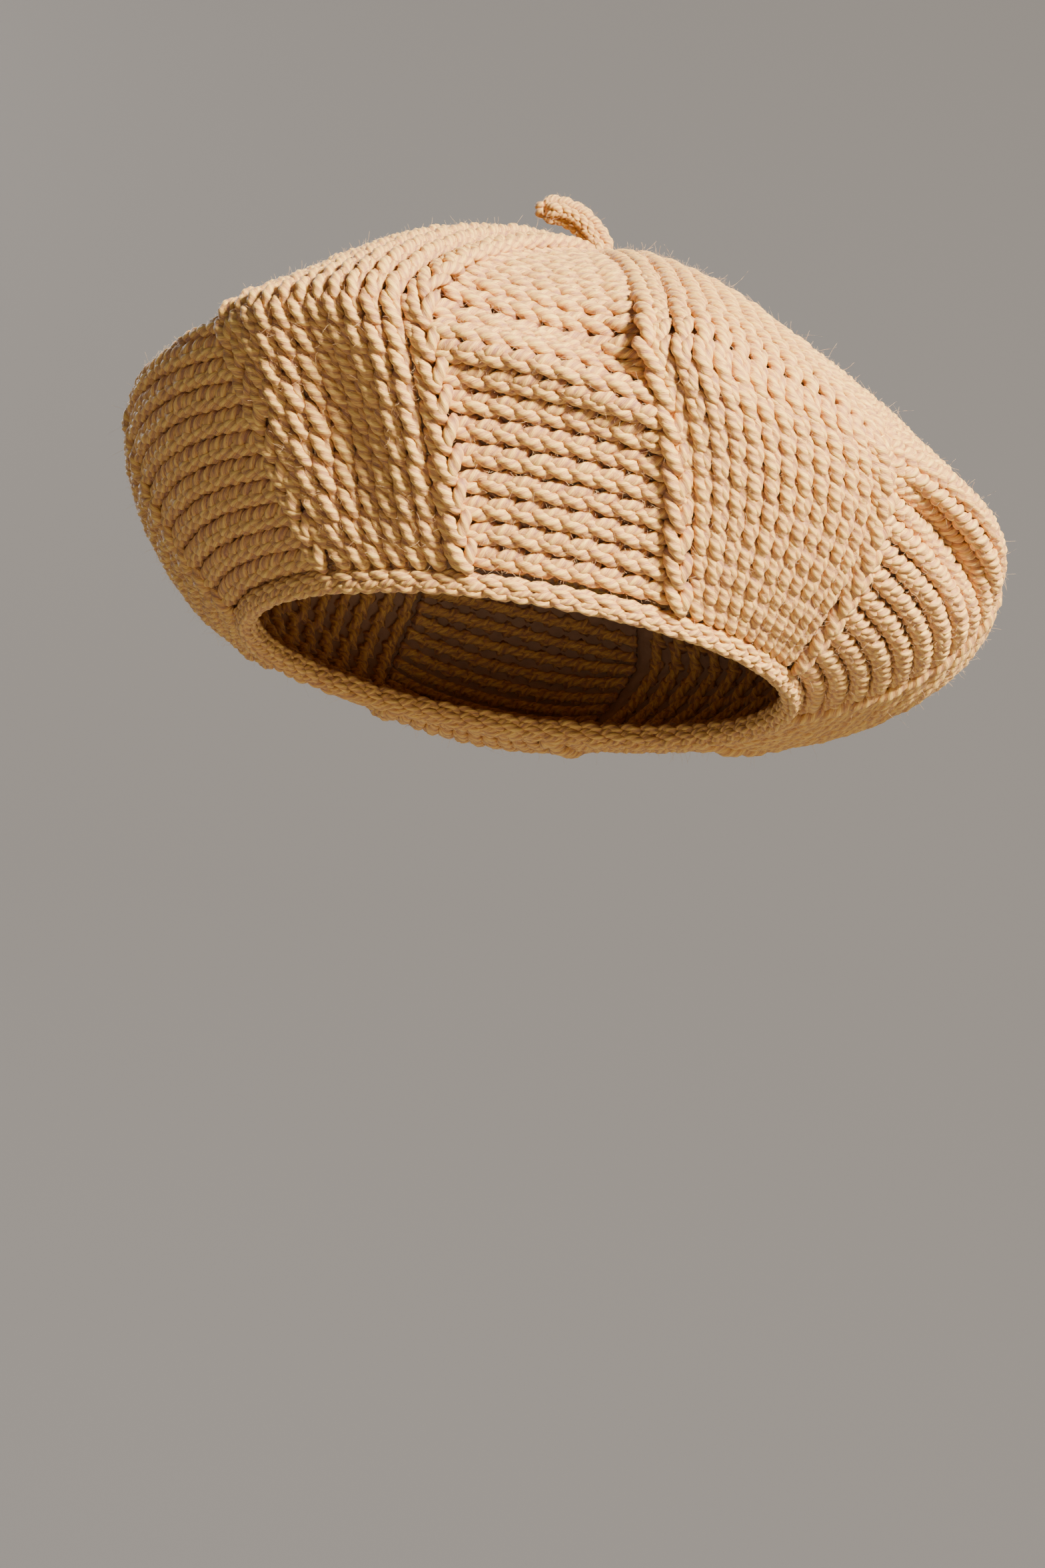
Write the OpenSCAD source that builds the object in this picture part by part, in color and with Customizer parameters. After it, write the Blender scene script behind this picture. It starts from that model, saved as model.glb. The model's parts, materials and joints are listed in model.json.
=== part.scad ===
// Gored knitted beret: ten shaped gores, five plain and five ribbed, laid side by side
// round the crown, joined by raised seam chains and drawn together by a rolled edging
// at the head opening.  A short crocheted stalk leans at the crown's centre.
// The origin is the centre of the head opening in the plane that the brim rests on.
// +Z runs up to the crown, -Y is the side that shows the ribbed front gore.

/* [Head opening] */
// Inside radius of the brim edging, for a head of 54 cm round
head_r = 86; // [82:0.5:90]
// Thickness of the rolled brim edging, from the head outwards
edging_t = 5; // [4:0.25:5.5]
// Height of the rolled brim edging
edging_h = 7; // [6:0.25:7.5]
// Radius that rounds the edging's outer corners
edging_round = 2; // [1:0.25:2.25]

/* [Crown] */
// Height of the crown's centre above the brim
crown_h = 141.5; // [128:0.5:150]
// How far the crown's centre lies towards +X
crown_shift = 7.5; // [0:0.5:12]
// How far the slope drops over the first stretch from the crown's centre
crown_fall = 9.5; // [4:0.5:14]
// Radius of the gathered closing at the crown
closing_r = 15.5; // [11:0.5:15.5]
// Thickness of the gathered closing
closing_t = 5; // [4:0.5:6]

/* [Rim] */
// Mean radius of the rim, where the hat is widest
rim_r = 138.5; // [132:0.5:145]
// Extra radius towards +X
rim_r_side = 3; // [0:0.5:6]
// Extra radius towards the back
rim_r_back = 5; // [0:0.5:8]
// Extra radius at both sides, less at front and back
rim_r_oval = 5; // [0:0.5:8]
// Mean height of the rim
rim_z = 59; // [54:0.5:65]
// Drop of the rim towards +X
rim_z_side = 11.5; // [0:0.5:14]
// Drop of the rim towards the back
rim_z_back = 16; // [0:0.5:18]
// Height of the rounded shoulder above and below the rim
shoulder = 16; // [12:0.5:20]
// How much flatter the shoulder is at both sides
side_flat = 9; // [0:0.5:10]
// How much lower the fabric sags under the back
back_sag = 12; // [0:0.5:14]

/* [Front fold] */
// Depth of the hollow above the fold in the front gore
fold_hollow = 11; // [0:0.5:13]
// Height of the fold's ridge
fold_ridge = 4; // [0:0.5:6]

/* [Fabric] */
// Thickness of the knitted fabric
wall = 5; // [4:0.25:6]
// Width of a seam chain
seam_w = 6; // [5:0.25:7]
// Height of a seam chain above the gores that it joins
seam_proud = 1.5; // [0.5:0.25:2.5]
// Clear space between a gore and its seam chain
joint_gap = 0.15; // [0.1:0.05:0.3]

/* [Stalk] */
// Radius of the stalk
stalk_r = 3.75; // [3:0.25:4.25]
// Clear space round the stalk's root
root_gap = 1.5; // [1.5:0.1:2]

/* [Hidden] */

// Direction of each gore's first seam, in degrees from -Y towards +X: from the crown
// to the rim, and at the brim, which the seams reach with a lean
seam_rim = [-95, -54, -22, 9, 44, 90, 127, 163, 198, 232];
seam_brim = [-86, -43, -12, 30, 68, 102, 137, 172, 206, 240];
// How far each gore swells out between its seams, or sinks in
swell = [-1, 8, -3, 4, 2, 4, -3, 7, -3, 5];
gores = len(swell);

s_rim = 0.56;                    // the rim's place along a gore, 0 crown centre, 1 brim
s_top = 0.06;                    // where the gores start, beside the closing
crown_reach = 0.4;               // the flat stretch at the crown, as a part of the rim's radius
soften = 0.05;                   // the part of a gore's length over which its bend is rounded
side_tuck = 2;                   // how far the shoulder draws in above the rim at the sides
under_tuck = 5;                  // and below it
front_slope = 55;                // slope of the fabric where it meets the front of the edging
back_slope = -12;                // and the back
front_reach = 10;                // how far the fabric keeps that slope at the front
back_reach = 24;                 // and at the back
edge_gap = 0.5;                  // space between the fabric and the edging
corner_gap = 2.2;                // more of it where the fabric comes in steeply
edge_c = head_r + edging_t / 2;  // centre line of the edging
swell_flat = 2.6;                // how flat-topped a gore's swell is across it
swell_lift = 0.8;                // below 1, the swell's crest moves towards the crown
fold_gore = 2;                   // the front gore
fold_s = 0.625;                  // the fold's place at the gore's first seam
fold_lean = 0.055;               // how much nearer to the brim it is at the other seam
fold_edge = 7;                   // how squarely the fold stops at the seams
ridge_w = 0.04;                  // half width of the ridge along the gore
hollow_w = 0.055;                // half width of the hollow
hollow_s = 0.085;                // how far above the ridge the hollow lies
hollow_least = 0.5;              // the part of the hollow's depth that runs right across
deepest_u = 0.8;                 // where the hollow is deepest, between the gore's seams
deepest_w = 0.35;                // and over what half width
seam_start = 0.4;                // width of a seam at the crown, as a part of its full width
seam_grow = 3;                   // and how fast it widens along the gore
rows = 24;
columns = 8;
closing_z = crown_h - 2;         // top of the closing, level with the stalk's hinge
probe = 0.01;                    // step used to find the surface's slope
plain_colour = [0.86, 0.69, 0.50];
ribbed_colour = [0.82, 0.64, 0.45];
seam_colour = [0.90, 0.74, 0.56];
// The stalk's middle line: up from the closing, over to -X, with its tip drooping
stalk_line = [for (p = [[0, 0], [-2, 7.5], [-8, 14], [-15, 17], [-21.5, 16.5]])
    [crown_shift + p.x, 0, closing_z + p.y]];

// ---- the hat's smooth surface ----

function bezier(a, b, c, d, t) =
    (1 - t)^3 * a + 3 * (1 - t)^2 * t * b + 3 * (1 - t) * t^2 * c + t^3 * d;

function clamp(x) = min(1, max(0, x));

// Radius and height of the rim in the direction az
function rim(az) = [
    rim_r + rim_r_side * sin(az) - rim_r_back * cos(az) - rim_r_oval * cos(2 * az),
    rim_z - rim_z_side * sin(az) + rim_z_back * cos(az)];

// 0 at the front of the hat and 1 at the back
function backness(az) = (1 - cos(az)) / 2;

// Crown to rim: a shallow cone that rounds over at the shoulder
function upper(az, t) =
    let (e = rim(az), side = sin(az)^2)
    bezier([0, crown_h], [crown_reach * e.x, crown_h - crown_fall],
           [e.x - side_tuck * side, e.y + shoulder - side_flat * side], e, t);

// Where the fabric meets the edging, clear of its rounded corner
function join(slope) =
    let (clear = edging_t / 2 + edge_gap + corner_gap * max(0, sin(slope)))
    [edge_c, edging_h / 2] + clear * [cos(slope), sin(slope)];

// Rim to edging: steep at the front, flat underneath at the back
function lower(az, t) =
    let (e = rim(az), back = backness(az), slope = front_slope * (1 - back) + back_slope * back)
    let (way = [cos(slope), sin(slope)], reach = front_reach + (back_reach - front_reach) * back)
    bezier(e, [e.x - under_tuck * sin(az)^2, e.y - shoulder - back_sag * back],
           join(slope) + reach * way, join(slope), t);

function meridian(az, s) =
    s < s_rim ? upper(az, s / s_rim) : lower(az, (s - s_rim) / (1 - s_rim));

// Radius and height averaged over a short length, so that the fabric bends softly at the rim
function soft_meridian(az, s) =
    let (reach = min(soften, s, 1 - s))
    (3 * meridian(az, s) + 2 * meridian(az, s - reach / 2) + 2 * meridian(az, s + reach / 2)
        + meridian(az, s - reach) + meridian(az, s + reach)) / 9;

// A point on the surface; the crown's centre is shifted, the brim's isn't
function surface_at(az, s) =
    let (m = soft_meridian(az, s))
    [m.x * sin(az) + crown_shift * m.y / crown_h, -m.x * cos(az), m.y];

function unit(v) = v / norm(v);

// Outward direction, square to the surface
function outward(az, s) =
    unit(cross(surface_at(az, min(1, s + probe)) - surface_at(az, s - probe),
               surface_at(az + 1, s) - surface_at(az - 1, s)));

// ---- seams and gores on that surface ----

function seam_az(k, s) =
    let (turns = floor(k / gores), i = k - turns * gores)
    360 * turns + seam_rim[i] + (seam_brim[i] - seam_rim[i]) * clamp((s - s_rim) / (1 - s_rim));

// Half of a seam's width in degrees; seams narrow towards the crown
function seam_half(az, s, gap) =
    (seam_w / 2 * min(1, seam_start + seam_grow * (s - s_top)) + gap)
        / soft_meridian(az, s).x * 180 / PI;

function gore_az(k, u, s) =
    let (a = seam_az(k, s), b = seam_az(k + 1, s))
    let (from = a + seam_half(a, s, joint_gap), to = b - seam_half(b, s, joint_gap))
    from + (to - from) * u;

function hill(x, centre, width) = exp(-((x - centre) / width)^2);

// The front gore's fold: a ridge across it with a hollow above, deepest towards +X
function fold(u, s) =
    let (line = fold_s + fold_lean * u)
    (1 - abs(2 * u - 1)^fold_edge)
        * (fold_ridge * hill(s, line, ridge_w)
            - fold_hollow * hill(s, line - hollow_s, hollow_w)
                * (hollow_least + (1 - hollow_least) * hill(u, deepest_u, deepest_w)));

function gore_swell(k, u, s) =
    swell[k] * (1 - abs(2 * u - 1)^swell_flat) * sin(180 * s^swell_lift)^swell_lift
        + (k == fold_gore ? fold(u, s) : 0);

function gore_point(k, u, s, depth) =
    let (az = gore_az(k, u, s))
    surface_at(az, s) + (gore_swell(k, u, s) - depth) * outward(az, s);

// side runs from -1 to 1 across the seam
function seam_point(k, side, s, depth) =
    let (a = seam_az(k, s), az = a + side * seam_half(a, s, 0))
    surface_at(az, s) + (seam_proud * (1 - side^2) - depth) * outward(az, s);

function along(i) = s_top + (1 - s_top) * i / rows;

// A closed slab between an outer and an inner grid of points, both n by m
module slab(outer, inner) {
    n = len(outer);
    m = len(outer[0]);
    points = [for (grid = [outer, inner]) for (row = grid) for (p = row) p];
    function at(layer, i, j) = (layer * n + i) * m + j;
    function quad(a, b, c, d) = [[a, b, c], [a, c, d]];
    faces = [
        for (i = [0:n - 2]) for (j = [0:m - 2]) each concat(
            quad(at(0, i, j), at(0, i, j + 1), at(0, i + 1, j + 1), at(0, i + 1, j)),
            quad(at(1, i + 1, j), at(1, i + 1, j + 1), at(1, i, j + 1), at(1, i, j))),
        for (i = [0:n - 2]) each concat(
            quad(at(0, i, 0), at(0, i + 1, 0), at(1, i + 1, 0), at(1, i, 0)),
            quad(at(0, i + 1, m - 1), at(0, i, m - 1), at(1, i, m - 1), at(1, i + 1, m - 1))),
        for (j = [0:m - 2]) each concat(
            quad(at(0, 0, j + 1), at(0, 0, j), at(1, 0, j), at(1, 0, j + 1)),
            quad(at(0, n - 1, j), at(0, n - 1, j + 1), at(1, n - 1, j + 1), at(1, n - 1, j)))];
    polyhedron(points, faces, convexity = 6);
}

// ---- sub-parts ----

module gore(k) {
    color(k % 2 == 1 ? plain_colour : ribbed_colour)
        slab([for (i = [0:rows]) [for (j = [0:columns]) gore_point(k, j / columns, along(i), 0)]],
             [for (i = [0:rows]) [for (j = [0:columns]) gore_point(k, j / columns, along(i), wall)]]);
}

module seam(k) {
    color(seam_colour)
        slab([for (i = [0:rows]) [for (side = [-1, 0, 1]) seam_point(k, side, along(i), 0)]],
             [for (i = [0:rows]) [for (side = [-1, 0, 1]) seam_point(k, side, along(i), wall)]]);
}

// Rolled edging with a true cylinder as its inner wall and a flat foot
module brim_edging() {
    color(seam_colour)
        rotate_extrude($fn = 96)
            translate([head_r, 0]) {
                square([edging_t - edging_round, edging_h]);
                translate([edging_t / 2, edging_round])
                    square([edging_t / 2, edging_h - 2 * edging_round]);
                for (y = [edging_round, edging_h - edging_round])
                    translate([edging_t - edging_round, y])
                        circle(r = edging_round, $fn = 24);
            }
}

// The gores' gathered ends: a low ring with a hole for the stalk's root
module crown_closing() {
    color(plain_colour)
        translate([crown_shift, 0, closing_z - closing_t])
            difference() {
                over = 1;
                cylinder(r = closing_r, h = closing_t, $fn = 48);
                translate([0, 0, -over])
                    cylinder(r = stalk_r + root_gap, h = closing_t + 2 * over, $fn = 48);
            }
}

// A smooth curve through the stalk's points, t from 0 to the number of spans
function stalk_at(t) =
    let (last = len(stalk_line) - 1, i = min(last - 1, floor(t)), f = t - i)
    let (b = stalk_line[i], c = stalk_line[i + 1])
    let (a = i > 0 ? stalk_line[i - 1] : 2 * b - c)
    let (d = i + 2 <= last ? stalk_line[i + 2] : 2 * c - b)
    0.5 * (2 * b + (c - a) * f + (2 * a - 5 * b + 4 * c - d) * f^2 + (3 * b - a - 3 * c + d) * f^3);

module stalk() {
    rings = 16;
    sides = 12;
    step = 0.05;
    spans = len(stalk_line) - 1;
    points = [
        for (i = [0:rings])
            let (t = spans * i / rings, ahead = stalk_at(min(spans, t + step)))
            let (way = unit(ahead - stalk_at(max(0, t - step))), across = [0, 1, 0])
            let (over = cross(way, across))
            for (j = [0:sides - 1])
                stalk_at(t) + stalk_r * (cos(360 * j / sides) * across + sin(360 * j / sides) * over)];
    faces = concat(
        [[for (j = [0:sides - 1]) j], [for (j = [sides - 1:-1:0]) rings * sides + j]],
        [for (i = [0:rings - 1]) for (j = [0:sides - 1])
            let (a = i * sides + j, b = i * sides + (j + 1) % sides)
            each [[b, a, a + sides], [b, a + sides, b + sides]]]);
    color(seam_colour) {
        polyhedron(points, faces, convexity = 4);
        for (end = [stalk_line[0], stalk_line[spans]])
            translate(end)
                sphere(r = stalk_r, $fn = 32);
    }
}

gore(0);  // gore_1_ribbed
gore(1);  // gore_2_plain
gore(2);  // gore_3_ribbed
gore(3);  // gore_4_plain
gore(4);  // gore_5_ribbed
gore(5);  // gore_6_plain
gore(6);  // gore_7_ribbed
gore(7);  // gore_8_plain
gore(8);  // gore_9_ribbed
gore(9);  // gore_10_plain
seam(0);  // seam_1
seam(1);  // seam_2
seam(2);  // seam_3
seam(3);  // seam_4
seam(4);  // seam_5
seam(5);  // seam_6
seam(6);  // seam_7
seam(7);  // seam_8
seam(8);  // seam_9
seam(9);  // seam_10
brim_edging();
crown_closing();
stalk();
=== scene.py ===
"""Gored knitted beret: every stitch is a pair of plied yarn legs laid on the hat's surface.

Lengths are in millimetres until a mesh is made. An azimuth az is measured in degrees from -Y
towards +X, and a place s along a gore runs from 0 at the crown's centre to 1 at the brim.
"""
import json
import math

import bpy
import numpy as np
from mathutils import Matrix, Vector


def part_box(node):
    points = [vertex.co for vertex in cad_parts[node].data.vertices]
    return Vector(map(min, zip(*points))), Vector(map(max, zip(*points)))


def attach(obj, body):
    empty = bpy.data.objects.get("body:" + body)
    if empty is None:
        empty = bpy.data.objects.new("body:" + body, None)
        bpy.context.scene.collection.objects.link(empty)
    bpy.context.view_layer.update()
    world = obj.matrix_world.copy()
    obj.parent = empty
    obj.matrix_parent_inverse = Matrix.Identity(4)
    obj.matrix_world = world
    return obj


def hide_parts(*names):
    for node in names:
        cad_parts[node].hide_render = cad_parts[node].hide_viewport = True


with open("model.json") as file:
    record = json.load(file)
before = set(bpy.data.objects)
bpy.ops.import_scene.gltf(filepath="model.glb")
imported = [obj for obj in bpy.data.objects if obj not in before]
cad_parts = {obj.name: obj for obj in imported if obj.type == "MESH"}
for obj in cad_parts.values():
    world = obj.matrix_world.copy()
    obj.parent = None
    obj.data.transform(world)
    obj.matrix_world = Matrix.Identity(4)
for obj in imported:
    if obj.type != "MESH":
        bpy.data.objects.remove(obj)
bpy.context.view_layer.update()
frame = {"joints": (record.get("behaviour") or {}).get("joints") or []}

MM = 0.001

# ---- sizes, from the frame where it holds them ----

edging_box = np.array(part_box("brim_edging")) / MM
closing_box = np.array(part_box("crown_closing")) / MM
EDGE_H = edging_box[1][2] - edging_box[0][2]
EDGE_T = 5.0
EDGE_R = edging_box[1][0] - EDGE_T / 2
CROWN_SHIFT = (closing_box[0][0] + closing_box[1][0]) / 2
CLOSING_Z = closing_box[1][2]
CROWN_H = CLOSING_Z + 2.0
STALK_PIVOT = np.array(frame["joints"][0]["pos_m"]) / MM

# The same surface as the CAD gores: a shallow cone, a rounded rim and a wall down to the brim
RIM_R, RIM_R_SIDE, RIM_R_BACK, RIM_R_OVAL = 138.5, 3.0, 5.0, 5.0
RIM_Z, RIM_Z_SIDE, RIM_Z_BACK = 59.0, 11.5, 16.0
CROWN_FALL, CROWN_REACH, SHOULDER = 9.5, 0.4, 16.0
SIDE_FLAT, BACK_SAG = 9.0, 12.0
SIDE_TUCK, UNDER_TUCK = 2.0, 5.0
FRONT_SLOPE, BACK_SLOPE = 55.0, -12.0
FRONT_REACH, BACK_REACH = 10.0, 24.0
EDGE_GAP, CORNER_GAP = 0.5, 2.2
S_RIM, S_TOP, SOFTEN = 0.56, 0.06, 0.05
SOFT_WEIGHTS = ((-1, 1), (-0.5, 2), (0, 3), (0.5, 2), (1, 1))
SEAM_RIM = np.array([-95, -54, -22, 9, 44, 90, 127, 163, 198, 232], float)
SEAM_BRIM = np.array([-86, -43, -12, 30, 68, 102, 137, 172, 206, 240], float)
SWELL = (-1, 8, -3, 4, 2, 4, -3, 7, -3, 5)
SWELL_FLAT, SWELL_LIFT = 2.6, 0.8
GORES = len(SWELL)
GORE_NODES = [f"gore_{k + 1}_{'plain' if k % 2 else 'ribbed'}" for k in range(GORES)]
LEFT_RIB, LEFT_PLAIN, FRONT_RIB, FRONT_PLAIN, RIGHT_RIB = range(5)

# The front gore's fold: a ridge across it, and a hollow above the ridge that is wider on top and
# deepest at HOLLOW_U
FOLD_HOLLOW, FOLD_RIDGE, FOLD_EDGE, FOLD_SPREAD = 11.0, 4.0, 7, 0.1
FOLD_S, FOLD_LEAN, RIDGE_WIDTH = 0.625, 0.055, 0.04
HOLLOW_S, HOLLOW_ABOVE, HOLLOW_BELOW = 0.1, 0.13, 0.05
HOLLOW_U, HOLLOW_U_WIDTH, HOLLOW_LEAST, HOLLOW_MORE = 0.68, 0.3, 0.35, 0.4

# The other gores' folds: height, then the middle and width along s, then those across u
FOLDS = {
    LEFT_RIB: ((-8, 0.49, 0.04, 0.8, 0.3),),
    LEFT_PLAIN: ((2, 0.62, 0.2, 0.3, 0.25), (-5, 0.44, 0.12, 0.3, 0.3), (-9.5, 0.73, 0.17, 0.47, 0.27)),
    FRONT_PLAIN: ((5, 0.54, 0.13, 0.15, 0.2),),
    RIGHT_RIB: ((3, 0.53, 0.05, 0.5, 0.4), (-9, 0.62, 0.035, 0.4, 0.3)),
}

# Yarn and stitches
YARN_R = 1.75
TWIST = 10.0
PLIES = 3
PLY_DEPTH = 0.085
RIB_PITCH = 8.0
RIB_STEP = 7.7
TIGHT_STEP = 5.2
COLUMN_STEP = 8.4
COLUMN_PITCH = 6.4
LEFT_STEP = 6.4
SEAM_W, SEAM_STEP = 7.0, 9.2
GROUND_TOP, GROUND_UNDER = -2.4, -4.3
CORE_R, CORE_HEIGHT = 1.7, -2.1
PURL_HEIGHT, PURL_RISE = -3.9, 1.3
FIBRE_R = 0.035


def unit(v):
    return v / np.maximum(np.linalg.norm(v, axis=-1, keepdims=True), 1e-9)


def bezier(a, b, c, d, t):
    return (1 - t) ** 3 * a + 3 * (1 - t) ** 2 * t * b + 3 * (1 - t) * t ** 2 * c + t ** 3 * d


def meridian(az, s):
    """Radius and height of the surface at az (radians) and s."""
    rim_r = RIM_R + RIM_R_SIDE * np.sin(az) - RIM_R_BACK * np.cos(az) - RIM_R_OVAL * np.cos(2 * az)
    rim_z = RIM_Z - RIM_Z_SIDE * np.sin(az) + RIM_Z_BACK * np.cos(az)
    back = (1 - np.cos(az)) / 2
    side = np.sin(az) ** 2
    slope = np.radians(FRONT_SLOPE * (1 - back) + BACK_SLOPE * back)
    clear = EDGE_T / 2 + EDGE_GAP + CORNER_GAP * np.maximum(0, np.sin(slope))
    end_r = EDGE_R + clear * np.cos(slope)
    end_z = EDGE_H / 2 + clear * np.sin(slope)
    reach = FRONT_REACH + (BACK_REACH - FRONT_REACH) * back
    up = np.clip(s / S_RIM, 0, 1)
    low = np.clip((s - S_RIM) / (1 - S_RIM), 0, 1)
    upper_r = bezier(0, CROWN_REACH * rim_r, rim_r - SIDE_TUCK * side, rim_r, up)
    upper_z = bezier(CROWN_H, CROWN_H - CROWN_FALL, rim_z + SHOULDER - SIDE_FLAT * side, rim_z, up)
    lower_r = bezier(rim_r, rim_r - UNDER_TUCK * side, end_r + reach * np.cos(slope), end_r, low)
    lower_z = bezier(rim_z, rim_z - SHOULDER - BACK_SAG * back, end_z + reach * np.sin(slope),
                     end_z, low)
    return np.where(s < S_RIM, upper_r, lower_r), np.where(s < S_RIM, upper_z, lower_z)


def surface_at(az, s):
    """A point on the surface, averaged along the meridian so that the rim bends softly."""
    reach = np.clip(np.minimum(s, 1 - s), 0, SOFTEN)
    r, z = 0, 0
    total = sum(weight for _, weight in SOFT_WEIGHTS)
    for part, weight in SOFT_WEIGHTS:
        near_r, near_z = meridian(az, s + part * reach)
        r = r + near_r * weight / total
        z = z + near_z * weight / total
    return np.stack([r * np.sin(az) + CROWN_SHIFT * z / CROWN_H, -r * np.cos(az), z], -1)


def outward(az, s):
    d_s = surface_at(az, np.minimum(1, s + 0.01)) - surface_at(az, s - 0.01)
    d_az = surface_at(az + 0.02, s) - surface_at(az - 0.02, s)
    return unit(np.cross(d_s, d_az))


def seam_az(k, s):
    """Direction of seam k in radians; seam k + 1 is always ahead of seam k."""
    turns, i = divmod(k, GORES)
    low = np.clip((s - S_RIM) / (1 - S_RIM), 0, 1)
    return np.radians(360 * turns + SEAM_RIM[i] + (SEAM_BRIM[i] - SEAM_RIM[i]) * low)


def bump(x, centre, width):
    return np.exp(-((x - centre) / width) ** 2)


def swell(k, u, s):
    """How far gore k stands out of the surface: its puff, and the folds of the soft fabric."""
    u = np.clip(u, 0, 1)
    s = np.clip(s, 0, 1)
    rounded = 1 - np.abs(2 * u - 1) ** SWELL_FLAT
    square = 1 - np.abs(2 * u - 1) ** FOLD_EDGE
    rise = SWELL[k] * rounded * np.sin(math.pi * s ** SWELL_LIFT) ** SWELL_LIFT
    for height, s_middle, s_width, u_middle, u_width in FOLDS.get(k, ()):
        rise = rise + height * square * bump(s, s_middle, s_width) * bump(u, u_middle, u_width)
    if k == FRONT_RIB:
        past = s - (FOLD_S + FOLD_LEAN * u)
        width = np.where(past < -HOLLOW_S, HOLLOW_ABOVE, HOLLOW_BELOW)
        share = HOLLOW_LEAST + HOLLOW_MORE * bump(u, HOLLOW_U, HOLLOW_U_WIDTH)
        rise = rise + square * (FOLD_RIDGE * bump(past, 0.0, RIDGE_WIDTH)
                                - FOLD_HOLLOW * share * bump(past, -HOLLOW_S, width))
    return rise


def gore_surface(k):
    """Gore k's surface. The front gore swells along an averaged normal, as its fold crosses the rim."""
    def at(u, s):
        az = seam_az(k, s) * (1 - u) + seam_az(k + 1, s) * u
        normal = outward(az, s)
        if k == FRONT_RIB:
            normal = unit(normal + outward(az, s - FOLD_SPREAD) + outward(az, s + FOLD_SPREAD))
        return surface_at(az, s) + normal * swell(k, u, s)[..., None]
    return at


def seam_surface(k):
    """A narrow strip along seam k: u runs in millimetres across it."""
    def at(u, s):
        middle = surface_at(seam_az(k, s), s)
        az = seam_az(k, s) + u / np.hypot(middle[..., 0], middle[..., 1])
        return surface_at(az, s)
    return at


class Patch:
    """A strip of the surface, sampled once. u runs across it; a run is a length down its middle."""

    def __init__(self, surface, across, along=(0.0, 1.0), columns=61, rows=401, wraps=False):
        self.across, self.along, self.wraps = across, along, wraps
        u, s = np.meshgrid(np.linspace(*across, columns), np.linspace(*along, rows), indexing="ij")
        self.points = surface(u, s)
        d_u, d_s = np.gradient(self.points, axis=(0, 1))
        self.normals = unit(np.cross(d_s, d_u))
        self.wide = np.linalg.norm(d_u, axis=-1, keepdims=True) * (columns - 1) / np.ptp(across)
        middle = self.points[columns // 2]
        steps = np.linalg.norm(np.diff(middle, axis=0), axis=1)
        self.runs = np.concatenate([[0], np.cumsum(steps)])
        self.places = np.linspace(*along, rows)
        self.length = self.runs[-1]

    def look_up(self, table, u, s):
        n, m = table.shape[:2]
        x = np.clip((u - self.across[0]) / np.ptp(self.across), 0, 1) * (n - 1)
        y = (s - self.along[0]) / np.ptp(self.along)
        y = (y % 1 if self.wraps else np.clip(y, 0, 1)) * (m - 1)
        i, j = np.minimum(x.astype(int), n - 2), np.minimum(y.astype(int), m - 2)
        f, g = (x - i)[..., None], (y - j)[..., None]
        return ((table[i, j] * (1 - f) + table[i + 1, j] * f) * (1 - g)
                + (table[i, j + 1] * (1 - f) + table[i + 1, j + 1] * f) * g)

    def place(self, run):
        return run / self.length if self.wraps else np.interp(run, self.runs, self.places)

    def at(self, u, run, height):
        """Points at a height above the patch, with its outward normals there."""
        s = self.place(run)
        normal = unit(self.look_up(self.normals, u, s))
        return self.look_up(self.points, u, s) + height[..., None] * normal, normal

    def per_u(self, u, run):
        """Millimetres per unit of u."""
        return self.look_up(self.wide, u, self.place(run))[..., 0]


GORE_PATCHES = [Patch(gore_surface(k), (0.0, 1.0), (S_TOP - 0.01, 1.0)) for k in range(GORES)]


# ---- yarn ----

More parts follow.
